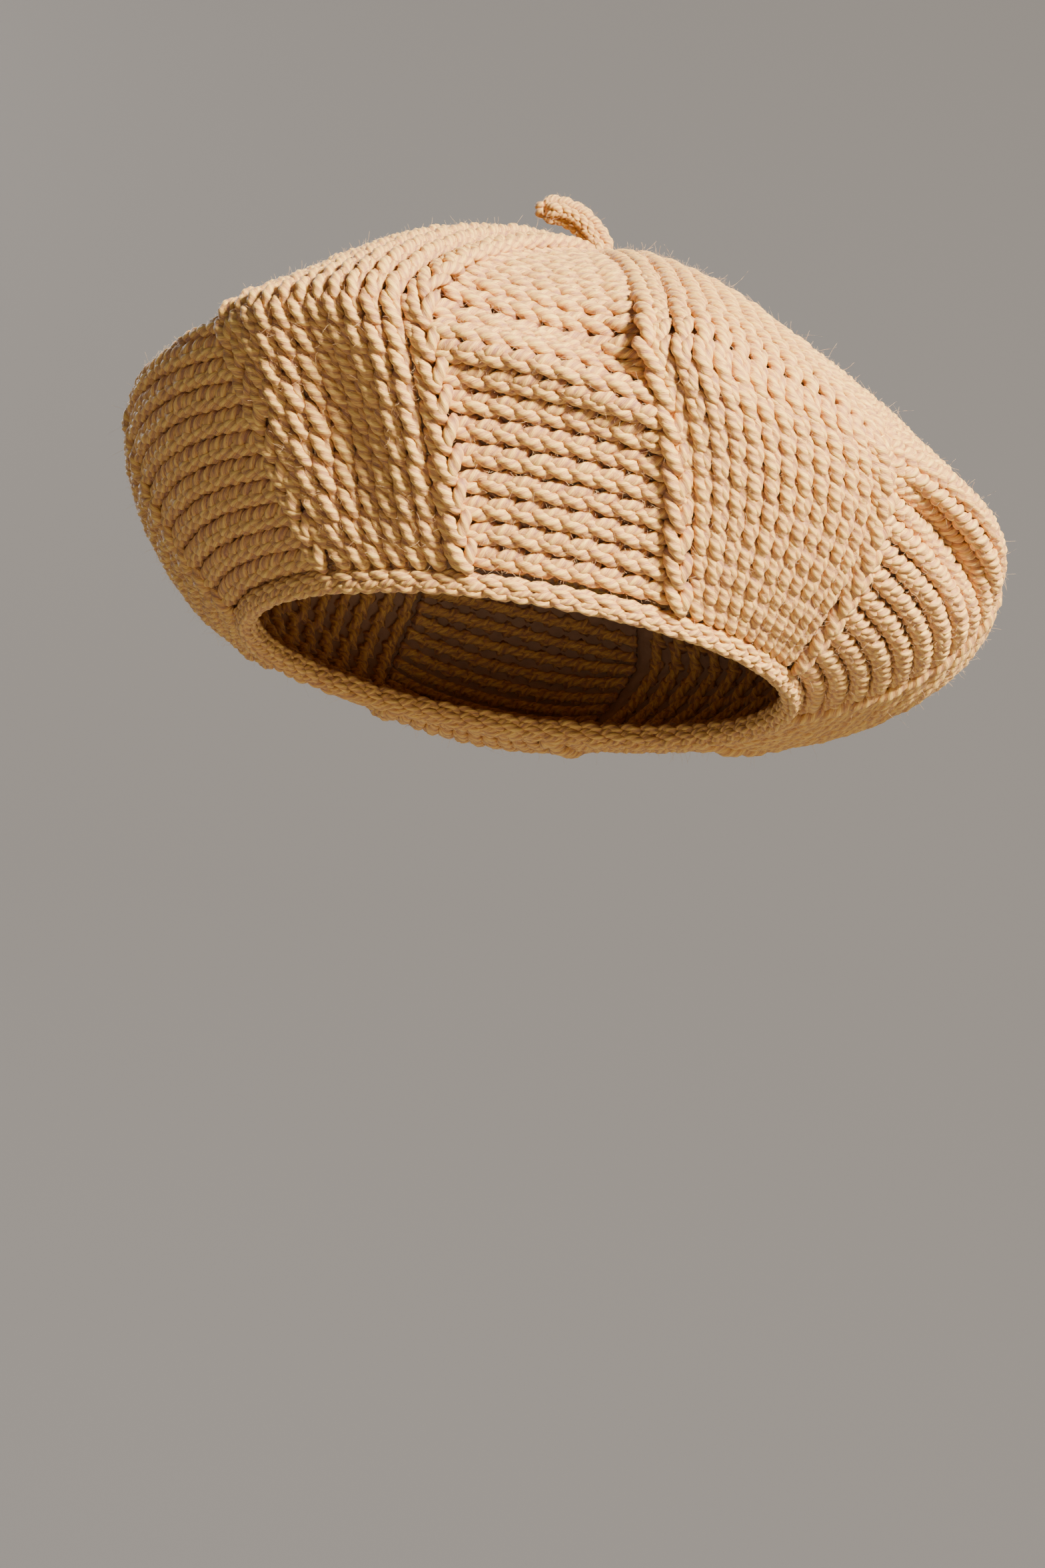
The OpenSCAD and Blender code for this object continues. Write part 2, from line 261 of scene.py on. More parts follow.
class Yarn:
    """Gathers tubes of plied yarn and makes one mesh of them."""

    def __init__(self, sides=12):
        self.sides = sides
        self.verts, self.faces, self.caps, self.uvs, self.cap_uvs = [], [], [], [], []
        self.tone, self.depth, self.count = [], [], 0

    def add(self, path, normal, radius, tone, depth, twist=TWIST, ply_depth=PLY_DEPTH):
        """path, normal: (n, rings, 3); radius and the painted crevice shade, 0 darkest: (n, rings);
        tone: (n,).
        """
        n, rings, _ = path.shape
        sides = self.sides
        along = unit(np.gradient(path, axis=1))
        across = unit(np.cross(along, normal))
        out = np.cross(across, along)
        step = np.linalg.norm(np.diff(path, axis=1), axis=-1)
        run = np.concatenate([np.zeros((n, 1)), np.cumsum(step, axis=1)], 1)
        j = np.arange(sides) / sides
        turn = 2 * math.pi * (j - run[..., None] / twist + tone[:, None, None] * 7.3)
        r = radius[..., None] * (1 + ply_depth * np.cos(2 * math.pi * PLIES * j))
        verts = (path[:, :, None] + (r * np.cos(turn))[..., None] * out[:, :, None]
                 + (r * np.sin(turn))[..., None] * across[:, :, None])
        self.verts.append(verts.reshape(-1, 3))
        base = self.count + (np.arange(n) * rings * sides)[:, None, None]
        ring = (np.arange(rings - 1) * sides)[None, :, None]
        a = np.arange(sides)[None, None]
        b = (a + 1) % sides
        quads = np.stack([base + ring + a, base + ring + b, base + ring + sides + b,
                          base + ring + sides + a], -1)
        self.faces.append(quads.reshape(-1, 4))
        lo = np.broadcast_to((run[:, :-1] + tone[:, None] * 97)[..., None], (n, rings - 1, sides))
        hi = np.broadcast_to((run[:, 1:] + tone[:, None] * 97)[..., None], (n, rings - 1, sides))
        ua = np.broadcast_to(j, lo.shape)
        ub = ua + 1 / sides
        self.uvs.append(np.stack([ua, lo, ub, lo, ub, hi, ua, hi], -1).reshape(-1, 2))
        first = self.count + np.arange(n)[:, None] * rings * sides + np.arange(sides)[::-1]
        last = self.count + (np.arange(n)[:, None] + 1) * rings * sides - sides + np.arange(sides)
        self.caps.append(np.concatenate([first, last]))
        self.cap_uvs.append(np.zeros((2 * n * sides, 2)))
        self.tone.append(np.broadcast_to(tone[:, None, None], (n, rings, sides)).reshape(-1))
        self.depth.append(np.broadcast_to(depth[..., None], (n, rings, sides)).reshape(-1))
        self.count += n * rings * sides

    def mesh(self, name):
        quads = np.concatenate(self.faces)
        caps = np.concatenate(self.caps)
        loops = np.concatenate([quads.ravel(), caps.ravel()])
        sizes = np.concatenate([np.full(len(quads), 4), np.full(len(caps), self.sides)])
        me = mesh_from(name, np.concatenate(self.verts), loops, sizes)
        uv = me.uv_layers.new(name="yarn")
        places = np.concatenate(self.uvs + self.cap_uvs)
        uv.data.foreach_set("uv", places.ravel().astype(np.float32))
        # The second attribute carries painted shade in the crevices.
        for title, values in (("tone", self.tone), ("depth", self.depth)):
            layer = me.attributes.new(title, "FLOAT", "POINT")
            layer.data.foreach_set("value", np.concatenate(values).astype(np.float32))
        return me


def mesh_from(name, verts, loops, sizes):
    me = bpy.data.meshes.new(name)
    me.vertices.add(len(verts))
    me.vertices.foreach_set("co", (verts * MM).ravel().astype(np.float32))
    me.loops.add(len(loops))
    me.loops.foreach_set("vertex_index", loops.astype(np.int32))
    me.polygons.add(len(sizes))
    starts = np.concatenate([[0], np.cumsum(sizes)[:-1]])
    me.polygons.foreach_set("loop_start", starts.astype(np.int32))
    me.polygons.foreach_set("use_smooth", np.ones(len(sizes), bool))
    me.update(calc_edges=True)
    return me


# A V's legs: side, where it starts and ends across the chain, its height, its thickness and
# how far before its stitch it comes up between the legs of the last one
FRONT_LEGS = ((-1, 0.06, 0.66, 0.0, 1.13, -0.14), (1, -0.20, 0.62, 0.35, 1.08, -0.40))
EVEN_LEGS = ((1, 0.0, 0.60, 0.0, 1.0, -0.30), (-1, -0.16, 0.62, 0.3, 1.03, -0.46))
SEAM_LEGS = ((1, -0.10, 0.80, 0.0, 1.0, -0.05), (-1, -0.20, 0.80, 0.3, 1.05, -0.20))
SKEWED_LEGS = ((1, 0.25, 0.60, -0.45, 0.92, -0.24), (-1, -0.38, 0.60, 0.4, 1.08, -0.42))


def knit_legs(yarn, patch, u, run, way, pitch, width, rng, legs, rings=12, radius=YARN_R, lift=0.0,
              twist=TWIST, jitter=0.22, droop=0.9, sink=2.3):
    """One V of two yarn legs at each place. way is the chain's direction over the patch, along
    (u, run), and the V's point is at its start."""
    n = len(u)
    per_u = patch.per_u(u, run)[:, None]
    t = np.linspace(0, 1, rings)[None]
    pitch = np.broadcast_to(pitch, (n,))[:, None]
    width = np.broadcast_to(width, (n,))[:, None]
    for side, start, end, height, fat, begin in legs:
        wobble = rng.normal(0, jitter, (n, 3))
        r = radius * fat * (1 + rng.normal(0, 0.05, (n, 1)))
        x = pitch * (begin + (1.08 - begin) * t) + wobble[:, :1]
        y = side * width / 2 * (start + (end - start) * np.sin(0.5 * math.pi * t) ** 1.2)
        y = y + wobble[:, 1:2] * 0.6
        rising = np.clip(1 - t / 0.4, 0, 1) ** 2
        falling = np.clip((t - 0.45) / 0.55, 0, 1) ** 2
        z = lift + height - 1.4 * rising - sink * falling - droop * (2 * y / width) ** 2
        z = z + wobble[:, 2:] * 0.5
        over, along = (x * way[0], y) if way[0] else (y, x * way[1])
        path, normal = patch.at(u[:, None] + over / per_u, run[:, None] + along, z)
        taper = 1 - 0.45 * np.clip((0.12 - t) / 0.12, 0, 1) - 0.5 * np.clip((t - 0.88) / 0.12, 0, 1)
        body = 0.92 + 0.13 * np.sin(math.pi * t)
        # Painted shade: the lower a leg lies in the fabric, the darker its colour.
        depth = np.clip((z - lift + 2.6) / 2.9, 0, 1)
        yarn.add(path, normal, r * taper * body, rng.random(n), depth, twist=twist)


def knit_cores(yarn, patch, u, run, way, pitch, radius=CORE_R):
    """The hidden middle of each chain, which closes the points of its Vs."""
    t = np.linspace(-0.56, 0.56, 4)[None] * np.broadcast_to(pitch, (len(u),))[:, None]
    over, along = (t * way[0], 0 * t) if way[0] else (0 * t, t * way[1])
    path, normal = patch.at(u[:, None] + over / patch.per_u(u, run)[:, None], run[:, None] + along,
                            np.full(t.shape, CORE_HEIGHT))
    tone = (np.arange(len(u)) * 0.381) % 1
    # Painted shade: the cores are coloured darker, as they lie in the crevices.
    yarn.add(path, normal, np.full(t.shape, radius), tone, np.full(t.shape, 0.22))


def ribbed_places(k):
    """Chains that run across the gore, one below the other: u, run, step and row pitch."""
    patch = GORE_PATCHES[k]
    stitch = {LEFT_RIB: LEFT_STEP, RIGHT_RIB: TIGHT_STEP}.get(k, RIB_STEP)
    rows = int(patch.length / RIB_PITCH)
    places = []
    for row in range(rows):
        run = (row + 0.5) * patch.length / rows
        wide = float(patch.per_u(np.array([0.5]), np.array([run]))[0])
        count = max(1, int(round((wide - SEAM_W * 0.6) / stitch)))
        edge = 0.3 * SEAM_W / wide
        rise = 12 * math.sin(math.pi * run / patch.length) if k == LEFT_RIB else 0
        for i in range(count):
            u = edge + (1 - 2 * edge) * i / count
            places.append((u, run + rise * (u - 0.5), (1 - 2 * edge) * wide / count,
                           patch.length / rows))
    return np.array(places)


def plain_places(k):
    """Columns side by side at a steady pitch from one seam; they end where the gore narrows."""
    patch = GORE_PATCHES[k]
    rows = int(patch.length / COLUMN_STEP)
    fans = k > LEFT_PLAIN
    most = float(patch.per_u(np.array([0.5]), np.array([0.56 * patch.length]))[0])
    places = []
    for row in range(rows, 0, -1):
        run = (row - 0.1) * patch.length / rows
        wide = float(patch.per_u(np.array([0.5]), np.array([run]))[0])
        pitch = COLUMN_PITCH
        if fans and run > 0.5 * patch.length:
            pitch = wide / round(most / COLUMN_PITCH)
        for c in range(int(wide / pitch) + 1):
            u = (c + 0.5) * pitch / wide
            u = 1 - u if k < FRONT_RIB else u
            if 0.4 * SEAM_W / wide < u < 1 - 0.4 * SEAM_W / wide:
                places.append((u, run, patch.length / rows, pitch))
    return np.array(places)


PLACES = [plain_places(k) if k % 2 else ribbed_places(k) for k in range(GORES)]
WAYS = [(0, -1) if k % 2 else (1, 0) for k in range(GORES)]


def gore_knit(k):
    rng = np.random.default_rng(100 + k)
    yarn = Yarn()
    u, run, step, width = PLACES[k].T
    legs = EVEN_LEGS
    if k == LEFT_PLAIN:
        legs = SKEWED_LEGS
    if k in (LEFT_RIB, FRONT_RIB):
        legs = FRONT_LEGS
    knit_legs(yarn, GORE_PATCHES[k], u, run, WAYS[k], step, width, rng, legs,
              droop=1.6, sink=1.7 if k % 2 else 2.3)
    return yarn.mesh(GORE_NODES[k] + "_knit")


def gore_core(k):
    yarn = Yarn(sides=8)
    u, run, step, _ = PLACES[k].T
    knit_cores(yarn, GORE_PATCHES[k], u, run, WAYS[k], step)
    return yarn.mesh(GORE_NODES[k] + "_core")


def gore_purl(k):
    """The gore's inside: rows of low purl loops."""
    rng = np.random.default_rng(300 + k)
    patch = GORE_PATCHES[k]
    yarn = Yarn(sides=8)
    u, run, step, width = PLACES[k].T
    per_u = patch.per_u(u, run)[:, None]
    t = np.linspace(0, 1, 7)[None]
    for shift, bend in ((0.0, 1.0), (0.5, -1.0)):
        n = len(u)
        over = width[:, None] * (t - 0.5) * 1.35 + rng.normal(0, 0.2, (n, 1))
        along = step[:, None] * (shift + 0.26 * bend * np.sin(math.pi * t))
        along = along + rng.normal(0, 0.2, (n, 1))
        du, dr = (over, -along) if k % 2 else (along, over)
        height = PURL_HEIGHT - PURL_RISE * np.sin(math.pi * t) + 0 * du
        path, normal = patch.at(u[:, None] + du / per_u, run[:, None] + dr, height)
        radius = YARN_R * 0.92 * (1 + rng.normal(0, 0.04, (n, 1))) + 0 * t
        # Painted shade: each purl loop is coloured darker towards its ends, where it dips into the
        # fabric.
        yarn.add(path, -normal, radius, rng.random(n), 0.25 + 0.6 * np.sin(math.pi * t) + 0 * du)
    return yarn.mesh(GORE_NODES[k] + "_purl")


def fuzz(name, patch, seed, groups, reach=1.0, length=9.0):
    """Loose fibres: groups of (count, shortest, mean extra length)."""
    rng = np.random.default_rng(seed)
    hairs = Yarn(sides=3)
    for count, shortest, extra in groups:
        u = rng.uniform(*patch.across, count)
        run = patch.length * rng.uniform(0, 1, count) ** reach
        size = np.minimum(shortest + rng.exponential(extra, count), length)[:, None, None]
        root, normal = patch.at(u, run, rng.uniform(0.2, 1.6, count))
        lean = unit(np.cross(normal, rng.normal(0, 1, (count, 3))))
        way = unit(normal * rng.uniform(0.05, 0.7, (count, 1)) + lean)
        curl = unit(np.cross(way, rng.normal(0, 1, (count, 3))))
        t = np.linspace(0, 1, 5)[None, :, None]
        bend = rng.uniform(-1.3, 1.3, (count, 1))[..., None]
        path = (root[:, None] + way[:, None] * size * t + curl[:, None] * size * bend * t ** 2
                - normal[:, None] * size * 0.2 * t ** 2)
        radius = FIBRE_R * (1 - 0.5 * t[..., 0]) + np.zeros((count, 1))
        hairs.add(path, normal[:, None] + 0 * path, radius, rng.random(count),
                  np.ones_like(radius), ply_depth=0)
    return hairs.mesh(name)


def gore_ground(k):
    """A closed layer under the stitches, coloured dark as painted shade in the gaps between them."""
    patch = GORE_PATCHES[k]
    rows, columns = 60, 26
    u, run = np.meshgrid(np.linspace(0.0, 1.0, columns), np.linspace(0, patch.length, rows))
    verts = np.concatenate([patch.at(u, run, np.full_like(u, height))[0].reshape(-1, 3)
                            for height in (GROUND_TOP, GROUND_UNDER)])
    n = rows * columns
    i, j = np.meshgrid(np.arange(rows - 1), np.arange(columns - 1), indexing="ij")
    a = (i * columns + j).ravel()
    top = np.stack([a, a + 1, a + columns + 1, a + columns], 1)
    under = top[:, ::-1] + n
    rim = np.concatenate([np.arange(columns - 1), (np.arange(rows - 1) + 1) * columns - 1,
                          np.arange(rows * columns - 1, (rows - 1) * columns, -1),
                          np.arange((rows - 1) * columns, 0, -columns)])
    ahead = np.roll(rim, -1)
    sides = np.stack([ahead, rim, rim + n, ahead + n], 1)
    loops = np.concatenate([top.ravel(), under.ravel(), sides.ravel()])
    return mesh_from(GORE_NODES[k] + "_ground", verts, loops, np.full(len(loops) // 4, 4))


# ---- materials ----

def nodes_of(name):
    mat = bpy.data.materials.new(name)
    mat.use_nodes = True
    tree = mat.node_tree
    return mat, tree, tree.nodes["Principled BSDF"]


def link(tree, a, out, b, into):
    tree.links.new(a.outputs[out], b.inputs[into])


def math_node(tree, operation, *values):
    node = tree.nodes.new("ShaderNodeMath")
    node.operation = operation
    for i, v in enumerate(values):
        if isinstance(v, (int, float)):
            node.inputs[i].default_value = v
        else:
            tree.links.new(v, node.inputs[i])
    return node.outputs[0]


def noise_node(tree, detail, scale=1.0):
    node = tree.nodes.new("ShaderNodeTexNoise")
    node.inputs["Scale"].default_value = scale
    node.inputs["Detail"].default_value = detail
    return node


def fibre_noise(tree, detail, stretch):
    """Noise drawn out along the yarn: stretch is its scale round the yarn and along it."""
    uv = tree.nodes.new("ShaderNodeUVMap")
    uv.uv_map = "yarn"
    place = tree.nodes.new("ShaderNodeMapping")
    place.inputs["Scale"].default_value = (*stretch, 1)
    node = noise_node(tree, detail)
    link(tree, uv, "UV", place, "Vector")
    link(tree, place, "Vector", node, "Vector")
    return node


def attribute_node(tree, name):
    node = tree.nodes.new("ShaderNodeAttribute")
    node.attribute_name = name
    return node


def coloured_by(tree, value, bsdf, *colours):
    """Base colour from evenly spaced colours, by a value from 0 to 1."""
    node = tree.nodes.new("ShaderNodeValToRGB")
    stops = node.color_ramp.elements
    stops[0].color = (*colours[0], 1)
    stops[1].color = (*colours[-1], 1)
    for i, colour in enumerate(colours[1:-1], 1):
        stops.new(i / (len(colours) - 1)).color = (*colour, 1)
    tree.links.new(value, node.inputs[0])
    link(tree, node, "Color", bsdf, "Base Color")


def roughened_by(tree, height, bsdf, strength, distance):
    node = tree.nodes.new("ShaderNodeBump")
    node.inputs["Strength"].default_value = strength
    node.inputs["Distance"].default_value = distance
    tree.links.new(height, node.inputs["Height"])
    link(tree, node, "Normal", bsdf, "Normal")


def yarn_material(name, light, mid, deep):
    """Plied yarn: fibre streaks along the plies, painted highlights on the ply crests, painted shade in
    the ply grooves and crevices, a soft sheen.
    """
    mat, tree, bsdf = nodes_of(name)
    uv = tree.nodes.new("ShaderNodeUVMap")
    uv.uv_map = "yarn"
    split = tree.nodes.new("ShaderNodeSeparateXYZ")
    link(tree, uv, "UV", split, 0)
    # Painted highlight and shade: each ply's crest is coloured lighter and the groove between plies
    # darker; the same stripes also drive the bump.
    around = math_node(tree, "MULTIPLY", split.outputs[0], 2 * math.pi * PLIES)
    ply = math_node(tree, "COSINE", around)
    value = math_node(tree, "MULTIPLY_ADD", ply, 0.26, 0.0)
    # Fibre streaks and the random stitch tone are the yarn's own colour; the crevice attribute adds
    # painted shade where the yarn lies low.
    for source, scale, shift in ((fibre_noise(tree, 4, (26, 0.55)), 2.0, -1.02),
                                 (attribute_node(tree, "tone"), 0.16, 0.0),
                                 (attribute_node(tree, "depth"), 0.62, -0.05)):
        part = math_node(tree, "MULTIPLY_ADD", source.outputs["Fac"], scale, shift)
        value = math_node(tree, "ADD", value, part)
    coloured_by(tree, value, bsdf, deep, mid, light)
    fine = fibre_noise(tree, 3, (44, 1.1))
    ply_height = math_node(tree, "MULTIPLY", ply, 0.3)
    height = math_node(tree, "ADD", fine.outputs["Fac"], ply_height)
    roughened_by(tree, height, bsdf, 0.8, 0.00035)
    bsdf.inputs["Roughness"].default_value = 0.52
    bsdf.inputs["Specular IOR Level"].default_value = 0.35
    bsdf.inputs["Sheen Weight"].default_value = 0.18
    bsdf.inputs["Sheen Roughness"].default_value = 0.5
    bsdf.inputs["Sheen Tint"].default_value = (1.0, 0.76, 0.50, 1)
    return mat


def painted_shade_ground_material():
    """Painted shade: a dark yarn colour for the layers seen through the gaps between stitches."""
    mat, tree, bsdf = nodes_of("knit_shadow")
    noise = noise_node(tree, 4, scale=300)
    coords = tree.nodes.new("ShaderNodeTexCoord")
    link(tree, coords, "Object", noise, "Vector")
    coloured_by(tree, noise.outputs["Fac"], bsdf, (0.26, 0.14, 0.075), (0.47, 0.27, 0.15))
    roughened_by(tree, noise.outputs["Fac"], bsdf, 0.6, 0.0005)
    bsdf.inputs["Roughness"].default_value = 0.9
    return mat


def fuzz_material():
    mat, tree, bsdf = nodes_of("peach_fuzz")
    tone = attribute_node(tree, "tone")
    coloured_by(tree, tone.outputs["Fac"], bsdf, (0.72, 0.40, 0.16), (0.93, 0.62, 0.31))
    bsdf.inputs["Roughness"].default_value = 0.7
    bsdf.inputs["Sheen Weight"].default_value = 0.3
    return mat


# The yarn's colour ramp: its ends are reached partly by fibre streaks and stitch tone, partly by
# painted highlights on ply crests and painted shade in grooves and crevices.
LIGHT, MID, DEEP = (0.95, 0.59, 0.142), (0.71, 0.345, 0.093), (0.40, 0.17, 0.09)
KNIT = yarn_material("peach_yarn", LIGHT, MID, DEEP)
FUZZ = fuzz_material()
PAINTED_SHADE_GROUND = painted_shade_ground_material()


def piece(me, material, body, nodes=()):
    me.materials.append(material)
    ob = bpy.data.objects.new(me.name, me)
    bpy.context.scene.collection.objects.link(ob)
    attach(ob, body)
    if nodes:
        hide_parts(*nodes)
    return ob


# ---- the hat ----

for k in range(GORES):
    piece(gore_knit(k), KNIT, "hat", [GORE_NODES[k]])
    piece(gore_core(k), KNIT, "hat")
    piece(gore_ground(k), PAINTED_SHADE_GROUND, "hat")
    piece(gore_purl(k), KNIT, "hat")
    piece(fuzz(GORE_NODES[k] + "_fuzz", GORE_PATCHES[k], 400 + k,
               ((4900, 0.7, 1.0), (180, 2.0, 1.5)), reach=0.75), FUZZ, "hat")


def seam_chain(k):
    """The raised chain along a seam; the two seams beside the front gore stand highest."""
    rng = np.random.default_rng(200 + k)
    patch = Patch(seam_surface(k), (-5.0, 5.0), (S_TOP - 0.01, 1.0), columns=9)
    yarn = Yarn()
    count = int(patch.length / SEAM_STEP)
    run = (np.arange(count) + 0.9) * patch.length / count
    broad = 8.4 if k in (FRONT_RIB, FRONT_PLAIN) else SEAM_W
    width = broad * np.clip(0.5 + run / 60, 0, 1)
    lift = 1.6
    if k == FRONT_RIB:
        lift = 2.6
    if k == FRONT_PLAIN:
        lift = (2.4 * np.clip(4 * run / patch.length - 1.6, 0, 1) - 0.2)[:, None]
    knit_legs(yarn, patch, np.zeros(count), run, (0, -1), patch.length / count, width, rng,
              SEAM_LEGS, lift=lift, radius=1.9, droop=0.6)
    knit_cores(yarn, patch, np.zeros(count), run, (0, -1), patch.length / count, radius=2.2)
    return yarn.mesh(f"seam_{k + 1}_chain")


for k in range(GORES):
    piece(seam_chain(k), KNIT, "hat", [f"seam_{k + 1}"])


# ---- brim edging, crown closing, stalk ----

EDGE_ROWS = ((20, 80), (-60, 80), (-140, 76), (160, 76))    # angle round the section, stitches
CLOSING_RINGS = ((9.6, 9), (13.9, 13), (17.8, 17))          # radius, stitches


def edging_patch(turn):
    """The edging's skin: u in millimetres round its section from a start angle, s round the hat."""
    half_t, half_h = EDGE_T / 2 - 0.6, EDGE_H / 2 - 0.9

    def at(u, s):
        around = math.radians(turn) + u / ((half_t + half_h) / 2)
        az = 2 * math.pi * s
        r = EDGE_R + half_t * np.cos(around)
        z = EDGE_H / 2 + half_h * np.sin(around)
        return np.stack([r * np.sin(az), -r * np.cos(az), z], -1)
    return at


def brim_edging():
    rng = np.random.default_rng(11)
    yarn = Yarn()
    for turn, count in EDGE_ROWS:
        patch = Patch(edging_patch(turn), (-8.0, 8.0), columns=33, rows=721, wraps=True)
        run = (np.arange(count) + rng.random()) * patch.length / count
        knit_legs(yarn, patch, np.zeros(count), run, (0, 1), patch.length / count, 4.6, rng,
                  EVEN_LEGS, rings=10, radius=1.3, lift=0.5)
    return yarn.mesh("brim_edging_chains")


def ring_mesh(name, radius, height, half_t, half_h, centre_x=0.0, steps=128, sides=12):
    """A plain closed ring of oval section, to back the chains on it."""
    az, around = np.meshgrid(np.arange(steps) * 2 * math.pi / steps,
                             np.arange(sides) * 2 * math.pi / sides, indexing="ij")
    r = radius + half_t * np.cos(around)
    z = height + half_h * np.sin(around)
    verts = np.stack([centre_x + r * np.sin(az), -r * np.cos(az), z], -1)
    i, j = np.meshgrid(np.arange(steps), np.arange(sides), indexing="ij")
    i2, j2 = (i + 1) % steps, (j + 1) % sides
    quads = np.stack([i * sides + j, i2 * sides + j, i2 * sides + j2, i * sides + j2], -1)
    return mesh_from(name, verts.reshape(-1, 3), quads.ravel(), np.full(steps * sides, 4))


def closing_patch(radius):
    """The gathered crown: u runs inwards in millimetres from a radius, s round the stalk."""
    def at(u, s):
        az = 2 * math.pi * s
        r = radius - u
        drop = 0.22 * np.maximum(r - 5, 0)
        return np.stack([CROWN_SHIFT + r * np.sin(az), -r * np.cos(az), CLOSING_Z + 0.2 - drop], -1)
    return at


def crown_closing():
    rng = np.random.default_rng(12)
    yarn = Yarn()
    for radius, count in CLOSING_RINGS:
        patch = Patch(closing_patch(radius), (-4.0, 4.0), columns=17, rows=181, wraps=True)
        run = np.arange(count) * patch.length / count
        knit_legs(yarn, patch, np.zeros(count), run, (0, 1), patch.length / count, 5.2, rng,
                  EVEN_LEGS, lift=0.5)
    return yarn.mesh("crown_closing_loops")


STALK_LINE = np.array([(0, 0), (-2, 7.5), (-8, 14), (-15, 17), (-21.5, 16.5)])
STALK_R = 3.75


def stalk_middle(t):
    """A smooth curve through the stalk's points, t from 0 to 1."""
    points = np.vstack([2 * STALK_LINE[0] - STALK_LINE[1], STALK_LINE,
                        2 * STALK_LINE[-1] - STALK_LINE[-2]])
    spans = len(STALK_LINE) - 1
    t = np.clip(t, 0, 1) * spans
    i = np.minimum(t.astype(int), spans - 1)
    f = (t - i)[..., None]
    a, b, c, d = points[i], points[i + 1], points[i + 2], points[i + 3]
    p = 0.5 * (2 * b + (c - a) * f + (2 * a - 5 * b + 4 * c - d) * f ** 2
               + (3 * b - a - 3 * c + d) * f ** 3)
    return np.stack([STALK_PIVOT[0] + p[..., 0], 0 * p[..., 0], STALK_PIVOT[2] + p[..., 1]], -1)


def stalk_patch(turn):
    """The stalk's skin: u in millimetres round it, s from its root to its tip."""
    core = STALK_R - 1.0

    def at(u, s):
        along = unit(stalk_middle(np.minimum(1, s + 0.02)) - stalk_middle(np.maximum(0, s - 0.02)))
        first = np.zeros_like(along)
        first[..., 1] = 1
        second = np.cross(first, along)
        r = core * (1 - 0.35 * np.clip((s - 0.88) / 0.12, 0, 1) ** 2)
        around = math.radians(turn) + u / core
        return (stalk_middle(s) + (r * np.cos(around))[..., None] * first
                + (r * np.sin(around))[..., None] * second)
    return at


def stalk_cord():
    rng = np.random.default_rng(13)
    yarn = Yarn()
    count = 8
    for column in range(4):
        patch = Patch(stalk_patch(90 * column + 20), (-4.0, 4.0), columns=17, rows=121)
        run = (np.arange(count) + 0.3 + 0.4 * (column % 2)) * patch.length / (count + 0.8)
        knit_legs(yarn, patch, np.zeros(count), run, (0, 1), patch.length / count, 4.2, rng,
                  EVEN_LEGS, radius=1.2, lift=0.7, jitter=0.15, twist=4.4, droop=0.5)
    t = np.linspace(0, 1, 24)[None]
    core = stalk_middle(t)
    normal = np.zeros_like(core)
    normal[..., 1] = 1
    rounded = np.sqrt(np.clip(1 - ((t - 0.93) / 0.07).clip(0, 1) ** 2, 0.05, 1))
    # Painted shade: the stalk's core is coloured darker than the chains round it.
    yarn.add(core, normal, (STALK_R - 0.9) * rounded, np.array([0.4]), 0.35 + 0 * t)
    tip = stalk_middle(np.array([0.985]))
    for side in (-1, 1):
        t = np.linspace(0, 1, 13)[None]
        sweep = math.pi * (t - 0.5)
        along = unit(stalk_middle(np.array([1.0])) - stalk_middle(np.array([0.9])))
        loop = (tip[:, None] + 1.6 * np.sin(sweep)[..., None] * np.array([0, 1.0, 0])
                + (0.4 + 1.6 * np.cos(sweep))[..., None] * along[:, None]
                + side * 1.1 * np.cross(along, np.array([0, 1.0, 0]))[:, None])
        out = np.broadcast_to(along[:, None], loop.shape)
        yarn.add(loop, out + 0.01, np.full((1, 13), 1.25), np.array([0.6]), np.full((1, 13), 0.8))
    return yarn.mesh("stalk_cord")


piece(brim_edging(), KNIT, "hat", ["brim_edging"])
# Painted shade: a dark ring behind the edging chains.
piece(ring_mesh("brim_edging_core", EDGE_R, EDGE_H / 2, EDGE_T / 2 - 0.4, EDGE_H / 2 - 0.6), PAINTED_SHADE_GROUND,
      "hat")
piece(crown_closing(), KNIT, "hat", ["crown_closing"])
# Painted shade: a dark ring under the crown's loops.
piece(ring_mesh("crown_closing_core", 11.0, CLOSING_Z - 3.0, 6.2, 1.6, CROWN_SHIFT), PAINTED_SHADE_GROUND,
      "hat")
piece(stalk_cord(), KNIT, "stalk", ["stalk"])
piece(fuzz("stalk_fuzz", Patch(stalk_patch(0), (-8.0, 8.0), (0.3, 1.0), 33, 121), 14,
           ((700, 0.8, 0.8),), length=3.0), FUZZ, "stalk")


# ---- camera, lights, stage ----

DISTANCE = 1477.0
ELEVATION, ROLL = math.radians(-14), math.radians(8.5)
PHOTO_W, PHOTO_H = 1568, 2352
MM_PER_PIXEL = 0.214
ORIGIN_IN_VIEW = (775, 1008)
SENSOR = 36.0


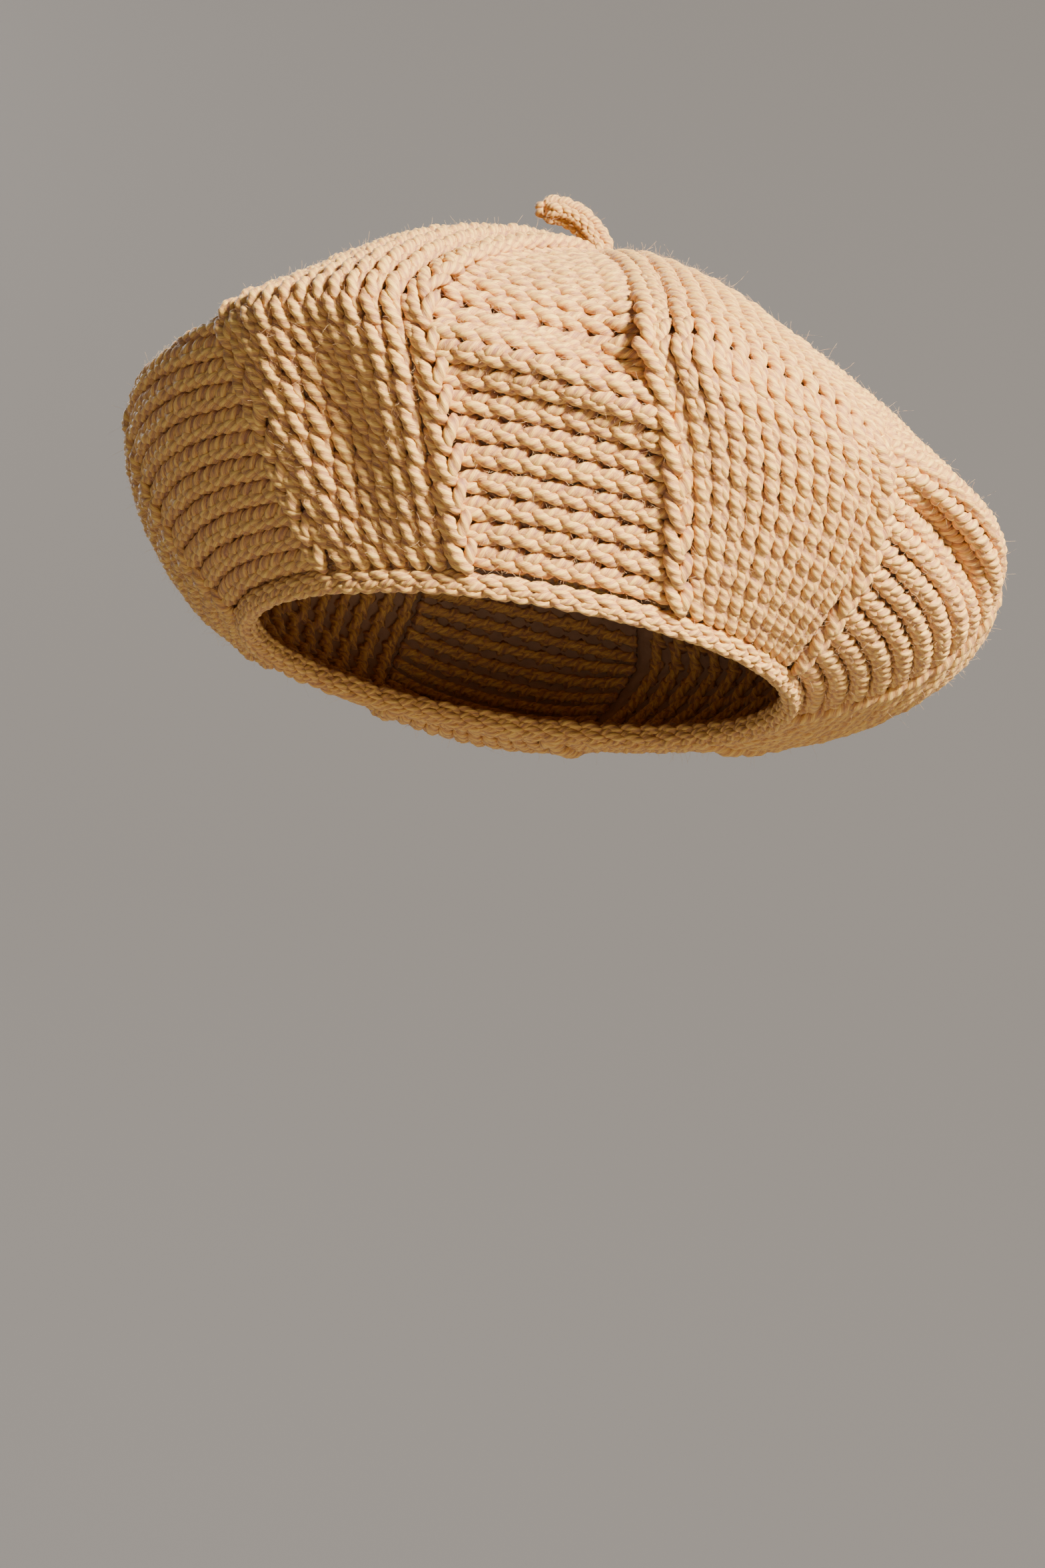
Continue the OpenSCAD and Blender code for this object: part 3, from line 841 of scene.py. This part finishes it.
def camera():
    look = Vector((0, math.cos(ELEVATION), -math.sin(ELEVATION)))
    right = Vector((1, 0, 0))
    up = right.cross(look)
    across = (PHOTO_W / 2 - ORIGIN_IN_VIEW[0]) * MM_PER_PIXEL
    rise = (ORIGIN_IN_VIEW[1] - PHOTO_H / 2) * MM_PER_PIXEL
    aim = (right * (across * math.cos(ROLL) - rise * math.sin(ROLL))
           + up * (across * math.sin(ROLL) + rise * math.cos(ROLL)))
    place = -look * DISTANCE
    look = (aim - place).normalized()
    right = look.cross(Vector((0, 0, 1))).normalized()
    up = right.cross(look)
    x_axis = right * math.cos(ROLL) + up * math.sin(ROLL)
    y_axis = up * math.cos(ROLL) - right * math.sin(ROLL)
    data = bpy.data.cameras.new("camera")
    data.sensor_width = SENSOR
    data.lens = SENSOR * DISTANCE / (PHOTO_H * MM_PER_PIXEL)
    data.clip_end = 20
    ob = bpy.data.objects.new("camera", data)
    bpy.context.scene.collection.objects.link(ob)
    turn = Matrix((x_axis, y_axis, -look)).transposed()
    ob.matrix_world = Matrix.Translation(place * MM) @ turn.to_4x4()
    bpy.context.scene.camera = ob


def area_light(name, place, size, power, colour):
    data = bpy.data.lights.new(name, "AREA")
    data.shape = "DISK"
    data.size = size
    data.energy = power
    data.color = colour
    ob = bpy.data.objects.new(name, data)
    bpy.context.scene.collection.objects.link(ob)
    ob.location = place
    ob.rotation_euler = (Vector((0, 0, 0.07)) - Vector(place)).to_track_quat("-Z", "Y").to_euler()


def plain_material(name, colour, roughness):
    mat, tree, bsdf = nodes_of(name)
    noise = tree.nodes.new("ShaderNodeTexNoise")
    noise.inputs["Scale"].default_value = 3
    mix = tree.nodes.new("ShaderNodeMix")
    mix.data_type = "RGBA"
    mix.inputs["A"].default_value = (*[c * 0.98 for c in colour], 1)
    mix.inputs["B"].default_value = (*[min(1, c * 1.02) for c in colour], 1)
    link(tree, noise, "Fac", mix, "Factor")
    link(tree, mix, "Result", bsdf, "Base Color")
    bsdf.inputs["Roughness"].default_value = roughness
    return mat


def stage():
    """A pale floor well below the hat, which curves up into a backdrop."""
    floor_z, front_y, back_y, top_z, bend, half = -0.62, -6.0, 2.4, 4.0, 1.0, 5.0
    steps = 16
    profile = [(front_y, floor_z)]
    for i in range(steps + 1):
        a = math.pi / 2 * i / steps
        profile.append((back_y - bend + bend * math.sin(a), floor_z + bend * (1 - math.cos(a))))
    profile.append((back_y, top_z))
    verts = [(x, y, z) for y, z in profile for x in (-half, half)]
    faces = [(2 * i, 2 * i + 1, 2 * i + 3, 2 * i + 2) for i in range(len(profile) - 1)]
    me = bpy.data.meshes.new("backdrop")
    me.from_pydata(verts, [], faces)
    for face in me.polygons:
        face.use_smooth = True
    me.materials.append(plain_material("pale_backdrop", (0.208, 0.192, 0.177), 0.9))
    ob = bpy.data.objects.new("backdrop", me)
    bpy.context.scene.collection.objects.link(ob)
    world = bpy.data.worlds.new("studio")
    world.use_nodes = True
    background = world.node_tree.nodes["Background"]
    background.inputs["Color"].default_value = (0.74, 0.87, 1, 1)
    background.inputs["Strength"].default_value = 0.13
    bpy.context.scene.world = world


camera()
COOL_WHITE = (0.95, 0.97, 1.0)
area_light("key", (1.25, -1.85, 0.95), 0.6, 285, (1.0, 0.96, 0.9))
area_light("fill", (-1.8, -1.4, 0.2), 1.6, 3, COOL_WHITE)
area_light("back", (-1.3, 2.0, 1.3), 1.2, 30, COOL_WHITE)
area_light("wall", (0.4, 0.9, 2.4), 2.0, 8, (1.0, 0.98, 0.95))
stage()
